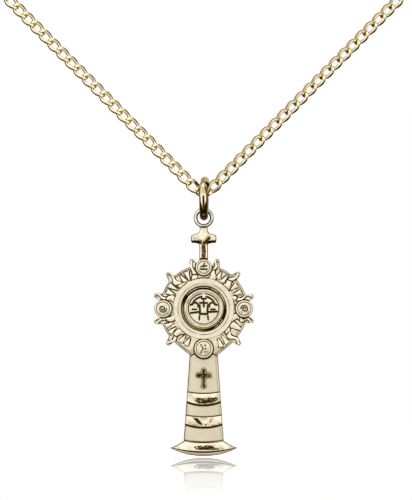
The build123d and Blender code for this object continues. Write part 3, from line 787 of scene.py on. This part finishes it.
def make_lip():
    columns = np.sin(np.linspace(-1, 1, 161) * np.pi / 2)[None, :]
    shares = np.linspace(0, 1, 17)[:, None]
    z = sagging_rows(columns, shares, (FOOT_TIP + 0.06, FOOT_SAG), (FOOT_TIP - 0.01, LIP_SAG))
    u = np.broadcast_to(columns * (FOOT_HALF - 0.01), z.shape)
    relief = 0.02 + 0.06 * np.sin(np.pi * np.clip(shares * 1.1 - 0.1, 0, 1))
    relief = relief - 0.14 * ridge(shares - 0.10, 0.22) - 0.5 * round_over((1 - shares) * 0.5, 0.12)
    # Painted shade over the lip, darkest at its top under the foot, and along its bottom edge.
    shade = deepest(np.clip(1 - 3.2 * shares, 0.25, 0.95), 0.85 * smooth(0.80, 0.95, shares))
    relief_piece("foot_lip_moulding", ("foot_lip",), POLISHED,
                 u, z, PLATE_FRONT + relief, PLATE_BACK - 0.02, shade)


# ---------- crosses
def edge_distance(u, v, outline):
    nearest = np.full(u.shape, 9.0)
    for start, end in zip(outline, np.roll(outline, -1, axis=0)):
        if np.linalg.norm(end - start) > 1e-9:
            nearest = np.minimum(nearest, to_segment(u, v, start, end))
    return nearest


def rows_of(profile, heights, columns):
    """A grid whose rows reach across a symmetrical outline, given half its width at each height."""
    z = np.repeat(np.array(heights)[:, None], columns, axis=1)
    half = np.array([profile(height) for height in heights])
    outline = np.concatenate([np.stack([half, z[:, 0]], 1), np.stack([-half[::-1], z[::-1, 0]], 1)])
    return np.linspace(-1, 1, columns) * half[:, None], z, outline


FINIAL_LOW, FINIAL_HIGH = from_glory("finial_cross")
ARM_HEIGHT = 8.95
ARM_HALF = 0.52
ARM_TOP, ARM_UNDER = ARM_HEIGHT + ARM_HALF, ARM_HEIGHT - ARM_HALF
ARM_REACH = FINIAL_HIGH.x - 0.03
ARM_BULGE = 0.16
NECK_HALF = 0.50
SHAFT_HALF = 0.55
SHAFT_FOOT = 6.42              # where the shaft meets the top roundel
FINIAL_BACK = 0.44


def finial_half(z):
    """Half the width of the finial: a flared neck, an arm with bulging ends and a shaft."""
    arm = ARM_REACH - ARM_BULGE
    if z > ARM_TOP:
        return NECK_HALF + (arm - NECK_HALF) * (1 - (z - ARM_TOP) / (FINIAL_HIGH.z - ARM_TOP)) ** 6.5
    if z > ARM_UNDER:
        return arm + ARM_BULGE * math.sqrt(max(1 - abs((z - ARM_HEIGHT) / ARM_HALF) ** 2.5, 0))
    return arm + (SHAFT_HALF - arm) * min(1, (ARM_UNDER - z) / 0.16) ** 0.35


def make_finial():
    heights = [*np.linspace(FINIAL_HIGH.z, ARM_UNDER, 72),
               *(ARM_UNDER - 0.16 * np.linspace(0.02, 1, 14) ** 2),
               *np.linspace(ARM_UNDER - 0.20, FINIAL_LOW.z, 60)]
    u, z, outline = rows_of(finial_half, heights, 61)
    edge = edge_distance(u, z, outline)
    shaft = fall(ARM_UNDER - 0.35, ARM_UNDER - 0.05, z)
    channel = shaft * fall(0.17, 0.29, np.abs(u + 0.03 * np.sin(5 * z)))
    chamfer = fall(0.10, 0.36, z - ARM_UNDER) * (np.abs(u) > NECK_HALF * 0.6) * (z > ARM_UNDER - 0.2)
    crease = ridge(to_segment(u, z, (0.02, ARM_UNDER - 0.05), (0.72, ARM_HEIGHT + 0.10)), 0.30)
    lesser = ridge(to_segment(u, z, (-0.02, ARM_UNDER), (-0.45, ARM_HEIGHT - 0.18)), 0.14)
    crease = deepest(crease, 0.6 * lesser)
    relief = 0.10 * smooth(0, 0.30, edge) - round_over(edge, 0.14) - 0.12 * channel - 0.20 * chamfer
    relief = relief - 0.06 * crease + 0.014 * waver(1.6 * u, 1.6 * z, 17)
    # Painted shade in the hollows, the shaft's channel (unevenly), the crease, the arms' undersides, two
    # lines across and along the outline.
    hollows = np.clip(0.8 * cavity_of(relief, False, 5, 0.04), 0, 1)
    shaded_channel = channel * smooth(6.35, 6.6, z) * np.clip(1 + 0.7 * waver(6 * u, 5 * z, 19), 0.5, 1)
    shade = deepest(hollows, shaded_channel, np.clip(1.1 * crease, 0, 1), 0.95 * chamfer,
                    0.85 * ridge(z - FINIAL_HIGH.z + 0.24, 0.12), ridge(z - SHAFT_FOOT, 0.14),
                    0.75 * fall(0.03, 0.13, edge))
    relief_piece("finial_cross_relief", ("finial_cross",), POLISHED,
                 u, z, PLATE_FRONT + 0.02 + relief, FINIAL_BACK, shade)


CROSS_ARM_Z = -8.54
CROSS_BAR_HALF = 0.26
CROSS_END = 0.34               # radius of each rounded end


def stem_cross_half(z):
    """Half the width of a cross with rounded, slightly swollen ends."""
    off = abs(z - CROSS_ARM_Z) / CROSS_END
    if off < 1:
        return CROSS_HIGH.x - CROSS_END + CROSS_END * math.sqrt(1 - off ** 2) ** 0.8
    for end, outward in ((CROSS_HIGH.z - CROSS_END, 1), (CROSS_LOW.z + CROSS_END, -1)):
        swell = math.sqrt(max(CROSS_END ** 2 - (z - end) ** 2, 0))
        if (z - end) * outward > 0:
            return max(swell, 0.02)
        if swell > CROSS_BAR_HALF:
            return swell
    return CROSS_BAR_HALF


def make_stem_cross():
    heights = []
    for start, end, count in ((CROSS_HIGH.z, CROSS_ARM_Z + 0.35, 26),
                              (CROSS_ARM_Z + 0.339, CROSS_ARM_Z - 0.339, 26),
                              (CROSS_ARM_Z - 0.35, CROSS_LOW.z, 44)):
        heights += list(start + (end - start) * (0.5 - 0.5 * np.cos(np.linspace(0, np.pi, count))))
    u, z, outline = rows_of(stem_cross_half, heights, 49)
    edge = edge_distance(u, z, outline)
    hollow = smooth(0.07, 0.14, edge)
    relief = 0.12 + 0.11 * ridge(edge - 0.06, 0.08) - 0.07 * hollow + 0.02 * waver(4 * u, 4 * z, 2)
    # Painted shade, uneven, in the cross's hollow middle, and along its outline.
    darkened_share = np.clip(hollow * (1 + 0.6 * waver(5 * u, 3 * z, 6)), 0, 1)
    relief_piece("stem_cross_relief", ("stem_cross",), CROSS,
                 u, z, PLATE_FRONT + 0.05 + relief - round_over(edge, 0.05), 0.1 - PLATE_FRONT,
                 deepest(darkened_share, 0.9 * (edge < 0.015)))


# ---------- rings and wires
LOOP_WIRE = extent("hanging_loop").y
LOOP_RADIUS = (extent("hanging_loop").z - LOOP_WIRE) / 2


def make_loop():
    """The pendant's own loop, with painted shade along its outlines."""
    points, faces = wire_ring(LOOP_RADIUS, LOOP_WIRE, (0, 1, 0))
    from_wire = [abs(math.hypot(point[0], point[2]) - LOOP_RADIUS) / (LOOP_WIRE / 2) for point in points]
    make_piece("soldered_hanging_loop", ("hanging_loop",), points, faces, POLISHED,
               cavity=0.9 * smooth(0.58, 0.92, np.array(from_wire)), centre=middle("hanging_loop"))


RING_WIRE = 1.08
RING_RADIUS = (extent("jump_ring").z - RING_WIRE) / 2
RING_LEAD = 0.26                # how far one sawn end stands beside the other
RING_SPLIT_AT = 48              # degrees up the front of the ring
RING_SPLIT = 0.04


def ring_painted_shade(turn, side):
    """Painted shade and painted dark reflections on the jump ring, by the degrees round it from the back over
    the top and the way sideways.
    """
    front = abs(side)
    # A painted dark reflection down the front, lighter painted shade above and below it, painted shade on the
    # underside, the upper left and the right flank, and a dark left outline.
    streak = fall(0.17, 0.36, front) * smooth(170, 175, turn) * fall(204, 209, turn)
    half_shade = 0.42 * (smooth(142, 150, turn) * fall(165, 173, turn) + smooth(205, 212, turn)) * (front < 0.5)
    under = 0.95 * smooth(226, 238, turn) * fall(262, 285, turn)
    top = 0.45 * fall(118, 128, turn) * smooth(-0.1, 0.5, -side) * smooth(50, 60, turn)
    right = smooth(0.80, 0.93, side) * smooth(135, 150, turn)
    return float(max(streak, half_shade, under, top, right, 0.9 * smooth(0.88, 0.99, -side)))


def make_jump_ring():
    """One turn of round wire whose two sawn ends stand side by side at the front."""
    steps, sides = 200, 36
    half_gap = RING_SPLIT / RING_RADIUS / 2
    start = math.pi - math.radians(RING_SPLIT_AT) + half_gap
    points, shades = [], []
    for k in range(steps):
        share = k / (steps - 1)
        angle = start + 2 * (math.pi - half_gap) * share
        for j in range(sides):
            round_wire = 2 * math.pi * j / sides
            reach = RING_RADIUS + RING_WIRE / 2 * math.cos(round_wire)
            side = RING_LEAD * (share - 0.5) + RING_WIRE / 2 * math.sin(round_wire)
            points.append((side, reach * math.cos(angle), reach * math.sin(angle)))
            sawn = k in (0, steps - 1)
            # The sawn ends take full painted shade.
            shades.append(0.9 if sawn else ring_painted_shade(math.degrees(angle) % 360, math.sin(round_wire)))
    faces = grid_faces(steps, sides, False, True)
    faces.append(tuple(range(sides)))
    faces.append(tuple(range((steps - 1) * sides, steps * sides))[::-1])
    make_piece("sawn_jump_ring", ("jump_ring",), points, faces, RING_GOLD, "jump_ring",
               shades, centre=middle("jump_ring"))


# ---------- chain
LINK_WIRE = 0.36
SHOWN_WIRE = 0.45               # the links touch, as they do when the chain is drawn tight
INNER_SWELL = 0.42
LINK_WIDTH = 1.52
LINK_PITCH = 1.58
LINK_GAP = 0.02
LINK_TWIST = 50
LINK_SQUARENESS = 0.75
LINK_CORNERS = 8
LINKS_PER_ARM = 23
ARM_ANGLE = math.radians(45.4)
ARM_ROLL = 13
ARM_DIRECTION = Vector((math.cos(ARM_ANGLE), 0, math.sin(ARM_ANGLE)))
ARM_ACROSS = Vector((-ARM_DIRECTION.z, 0, ARM_DIRECTION.x))
FIRST_LINK_OFFSET = Vector((1.315, 0.113, 0.602))
LINK_REACH = (LINK_PITCH + LINK_WIRE + LINK_GAP) / 2
OTHER_SIDE = Matrix.Rotation(math.pi, 3, "Z")


def link_corners():
    spread = math.cos(math.pi / LINK_CORNERS)
    places = []
    for corner in range(LINK_CORNERS):
        angle = math.pi / LINK_CORNERS * (2 * corner + 1)
        side = 1 if math.sin(angle) > 0 else -1
        reach = (LINK_WIDTH - LINK_WIRE) / 2 / spread * side * abs(math.sin(angle)) ** LINK_SQUARENESS
        twist = math.radians(LINK_TWIST) * math.cos(angle)
        along = LINK_REACH / spread * math.cos(angle)
        places.append(Vector((along, reach * math.sin(twist), reach * math.cos(twist))))
    return places


def smooth_loop(polygon, per_side):
    """A smooth closed curve that touches the middle of each side of a polygon."""
    path = []
    for k, corner in enumerate(polygon):
        start = (polygon[k - 1] + corner) / 2
        end = (corner + polygon[(k + 1) % len(polygon)]) / 2
        for step in range(per_side):
            t = step / per_side
            path.append(start * (1 - t) ** 2 + corner * 2 * t * (1 - t) + end * t * t)
    return path


def link_painted_shade(place, outwards):
    """Painted shade on a link's flanks, and where its neighbours hide it."""
    end = abs(place.x) / LINK_REACH
    # Painted shade on the outer flank, lighter and wider on the upper side, and where the neighbours hide the
    # ends.
    flank = 0.98 * smooth(0.15, 0.7, outwards)
    if place.z > 0:
        flank = 0.5 * smooth(-0.5, 0.3, outwards) + 0.4 * smooth(0.6, 0.95, outwards)
    return float(max(flank * fall(0.55, 0.88, end), smooth(0.2, 0.8, -outwards) * smooth(0.70, 0.9, end)))


def curb_link(wire):
    """A link of wire that pressing has left thicker inside the link than outside it."""
    path = smooth_loop(link_corners(), 6)
    count, sides = len(path), 16
    points, shades = [], []
    for k, place in enumerate(path):
        tangent = (path[(k + 1) % count] - path[k - 1]).normalized()
        twist = math.radians(LINK_TWIST) * max(-1, min(1, place.x / LINK_REACH))
        across = Vector((0, math.cos(twist), -math.sin(twist)))
        across = (across - tangent * across.dot(tangent)).normalized()
        outward = tangent.cross(across)
        if outward.dot(place) < 0:
            outward = -outward
        for j in range(sides):
            angle = 2 * math.pi * j / sides
            reach = wire / 2 * math.cos(angle)
            rise = wire * 0.44 * math.sin(angle) * (1 - INNER_SWELL * math.cos(angle))
            points.append(place + outward * reach + across * rise)
            shades.append(link_painted_shade(place, math.cos(angle)))
    return points, grid_faces(count, sides, True, True), shades


def make_chain():
    link_points, link_faces, link_shades = curb_link(SHOWN_WIRE)
    end_points = curb_link(LINK_WIRE)[0]      # the last link has to swing freely in its ring
    arm = Matrix((ARM_DIRECTION, Vector((0, 1, 0)), ARM_ACROSS)).transposed()
    roll = Matrix.Rotation(math.radians(ARM_ROLL), 3, "X")
    centre = (0, 0, middle("centre_link").z)
    for turn, name in ((Matrix.Identity(3), "right"), (OTHER_SIDE, "left")):
        points, faces = [], []
        for place in range(LINKS_PER_ARM):
            first = FIRST_LINK_OFFSET + ARM_DIRECTION * (place * LINK_PITCH)
            faces += [tuple(len(points) + index for index in face) for face in link_faces]
            shape = end_points if place == LINKS_PER_ARM - 1 else link_points
            points += [turn @ (first + arm @ (roll @ point)) for point in shape]
        make_piece(f"curb_chain_{name}", (f"chain_links_{name}",), points, faces, WIRE, "chain",
                   link_shades * LINKS_PER_ARM, centre=centre)
    make_piece("curb_chain_centre_link", ("centre_link",), link_points, link_faces, WIRE,
               "chain", link_shades, centre=centre)


CONNECTOR_WIRE = 0.40
CONNECTOR_RADIUS = 0.95
CONNECTOR_ROLL = math.radians(72)


def make_connectors():
    tilt = Vector((0, -math.sin(CONNECTOR_ROLL), 0)) + ARM_ACROSS * math.cos(CONNECTOR_ROLL)
    axis = ARM_DIRECTION.cross(tilt)
    for end, turned in (("tag", axis), ("clasp", OTHER_SIDE @ axis)):
        node = f"{end}_connector_ring"
        points, faces = wire_ring(CONNECTOR_RADIUS, CONNECTOR_WIRE, turned)
        make_piece(f"{end}_end_link_ring", (node,), points, faces, RING_GOLD, "held_ends",
                   centre=middle(node))


def finish_clasp():
    """The clasp's own CAD solids have the right shape, so they keep it and take a finish."""
    for node in ("clasp_body", "clasp_eye", "clasp_bolt", "end_tag", "clasp_spring"):
        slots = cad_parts[node].data.materials
        slots.clear()
        slots.append(STEEL if node == "clasp_spring" else CLASP_GOLD)


# ---------- surroundings
CAMERA_OFFSET = 0.295          # of the camera from the pendant's middle line
CAMERA_RISE = 7.526            # of the camera above the glory's middle
CAMERA_DISTANCE = 450
FRAME_HEIGHT = 64.1            # of the picture, at the pendant
SENSOR = 36


def make_camera():
    data = bpy.data.cameras.new("photograph_view")
    data.sensor_width = SENSOR
    data.lens = SENSOR * CAMERA_DISTANCE / FRAME_HEIGHT
    data.clip_start = 0.01
    data.clip_end = 20
    camera = bpy.data.objects.new("photograph_view", data)
    camera.location = Vector((CAMERA_OFFSET, -CAMERA_DISTANCE, GLORY.z + CAMERA_RISE)) * MM
    camera.rotation_euler = (math.pi / 2, 0, 0)
    bpy.context.scene.collection.objects.link(camera)
    bpy.context.scene.camera = camera


def make_world():
    """White to the camera; to the gold, a broad soft front light, a top light and dark sides."""
    world = bpy.data.worlds.new("studio")
    bpy.context.scene.world = world
    add = graph(world)
    ray = add("ShaderNodeTexCoord").outputs["Generated"]
    split = add("ShaderNodeSeparateXYZ", {"Vector": ray})

    def facing(direction, start, end, low, high):
        """Brightness that rises smoothly as a ray turns towards a direction."""
        sockets = {0: ray, 1: Vector(direction).normalized()}
        dot = add("ShaderNodeVectorMath", sockets, operation="DOT_PRODUCT")
        return eased(add, dot.outputs["Value"], start, end, low, high)

    def stripe(axis, place, inner, outer):
        """A soft-edged stripe in one component of a ray's direction."""
        offset = combine(add, "SUBTRACT", split.outputs[axis], place)
        return eased(add, combine(add, "ABSOLUTE", offset), inner, outer, 1, 0)

    key = facing((-0.15, -1.0, 0.25), 0.30, 0.64, 0.02, 1.22)
    top = facing((-0.1, -0.55, 0.85), 0.70, 0.95, 0, 0.45)
    left = facing((-0.85, -0.25, 0.45), 0.84, 0.95, 0, 1)
    right = facing((0.86, -0.48, 0.15), 0.86, 0.95, 0, 0.85)
    near_left = facing((-0.86, -0.48, 0.10), 0.86, 0.95, 0, 0.80)
    behind = facing((0, 1, 0.065), 0.9945, 0.9970, 0, 1)       # white behind the floor's mirror image
    overhead = facing((0.15, 0.30, 0.94), 0.55, 0.92, 0, 0.50)
    back_light = facing((0.15, 1.0, 0.30), 0.45, 0.80, 0, 0.55)
    sides = combine(add, "MAXIMUM", left, combine(add, "ADD", right, near_left))
    total = combine(add, "ADD", combine(add, "ADD", key, top), sides)
    total = combine(add, "MAXIMUM", combine(add, "MINIMUM", total, 1.4), behind)
    total = combine(add, "ADD", total, combine(add, "MAXIMUM", overhead, back_light))
    patch = combine(add, "MULTIPLY", stripe("X", 0.05, 0.10, 0.20), stripe("Z", -0.21, 0.12, 0.22))
    dark = combine(add, "MULTIPLY", patch, facing((0, -1, 0), 0.3, 0.4, 0, 1))
    lit = combine(add, "SUBTRACT", 1, combine(add, "MULTIPLY", dark, 0.90))
    total = combine(add, "MULTIPLY", total, lit)

    channels = {}
    tones = {"Red": (1, 1, 0.08), "Green": (0.985, 1.08, 0.04), "Blue": (0.95, 1.45, 0.01)}
    for channel, (strength, gamma, brown) in tones.items():
        light = combine(add, "MULTIPLY", combine(add, "POWER", total, gamma), strength)
        channels[channel] = combine(add, "ADD", light, combine(add, "MULTIPLY", dark, brown))
    colour = add("ShaderNodeCombineColor", channels).outputs["Color"]
    around = add("ShaderNodeBackground", {"Color": colour})
    shown = add("ShaderNodeBackground", {"Color": (1, 1, 1, 1)})
    mix = add("ShaderNodeMixShader", {"Fac": add("ShaderNodeLightPath").outputs["Is Camera Ray"],
                                      1: around.outputs["Background"], 2: shown.outputs["Background"]})
    add("ShaderNodeOutputWorld", {"Surface": mix.outputs["Shader"]})


FLOOR_HALF = 600               # half the floor's side
FLOOR_DROP = 0.12              # of the floor below the foot
MIRROR_STRENGTH = 0.62
MIRROR_HALF = 24               # how far to each side of the foot the floor still mirrors
MIRROR_FADE = 74               # how far in front of it
MIRROR_BEHIND = 3              # how far behind it


def make_floor():
    """A white polished floor that mirrors the foot faintly, and less with distance."""
    level = corners("foot_lip")[0].z - FLOOR_DROP
    mesh = bpy.data.meshes.new("floor")
    sheet = [Vector((x * FLOOR_HALF, y * FLOOR_HALF, level)) for x, y in ((-1, -1), (1, -1), (1, 1), (-1, 1))]
    mesh.from_pydata([tuple(corner * MM) for corner in sheet], [], [(0, 1, 2, 3)])
    floor = bpy.data.objects.new("floor", mesh)
    bpy.context.scene.collection.objects.link(floor)
    material = bpy.data.materials.new("white_polished_floor")
    add = graph(material)
    place = add("ShaderNodeTexCoord").outputs["Object"]
    split = add("ShaderNodeSeparateXYZ", {"Vector": place})
    x, y = split.outputs["X"], split.outputs["Y"]
    in_front = eased(add, y, -MIRROR_FADE * MM, 0, 0, MIRROR_STRENGTH)
    share = combine(add, "MULTIPLY", in_front, combine(add, "LESS_THAN", y, MIRROR_BEHIND * MM))
    aside = eased(add, combine(add, "ABSOLUTE", x), MIRROR_HALF * MM / 2, MIRROR_HALF * MM, 1, 0)
    glow = add("ShaderNodeEmission", {"Color": (1, 1, 1, 1)})
    mirror = add("ShaderNodeBsdfGlossy", {"Roughness": 0.01, "Color": (1, 1, 1, 1)})
    mix = add("ShaderNodeMixShader", {"Fac": combine(add, "MULTIPLY", share, aside),
                                      1: glow.outputs["Emission"], 2: mirror.outputs["BSDF"]})
    add("ShaderNodeOutputMaterial", {"Surface": mix.outputs["Shader"]})
    mesh.materials.append(material)
    floor.visible_diffuse = False
    floor.visible_glossy = False


# ---------- everything
make_glory()
make_rings()
make_roundels()
make_stem()
make_band("upper_band", 51, upper_marks, 0.20)
make_band("lower_band", 67, lower_marks, 0.09)
make_foot()
make_lip()
make_finial()
make_stem_cross()
make_loop()
make_jump_ring()
make_chain()
make_connectors()
finish_clasp()
make_world()
make_floor()
make_camera()
bpy.context.scene.view_settings.view_transform = "Standard"
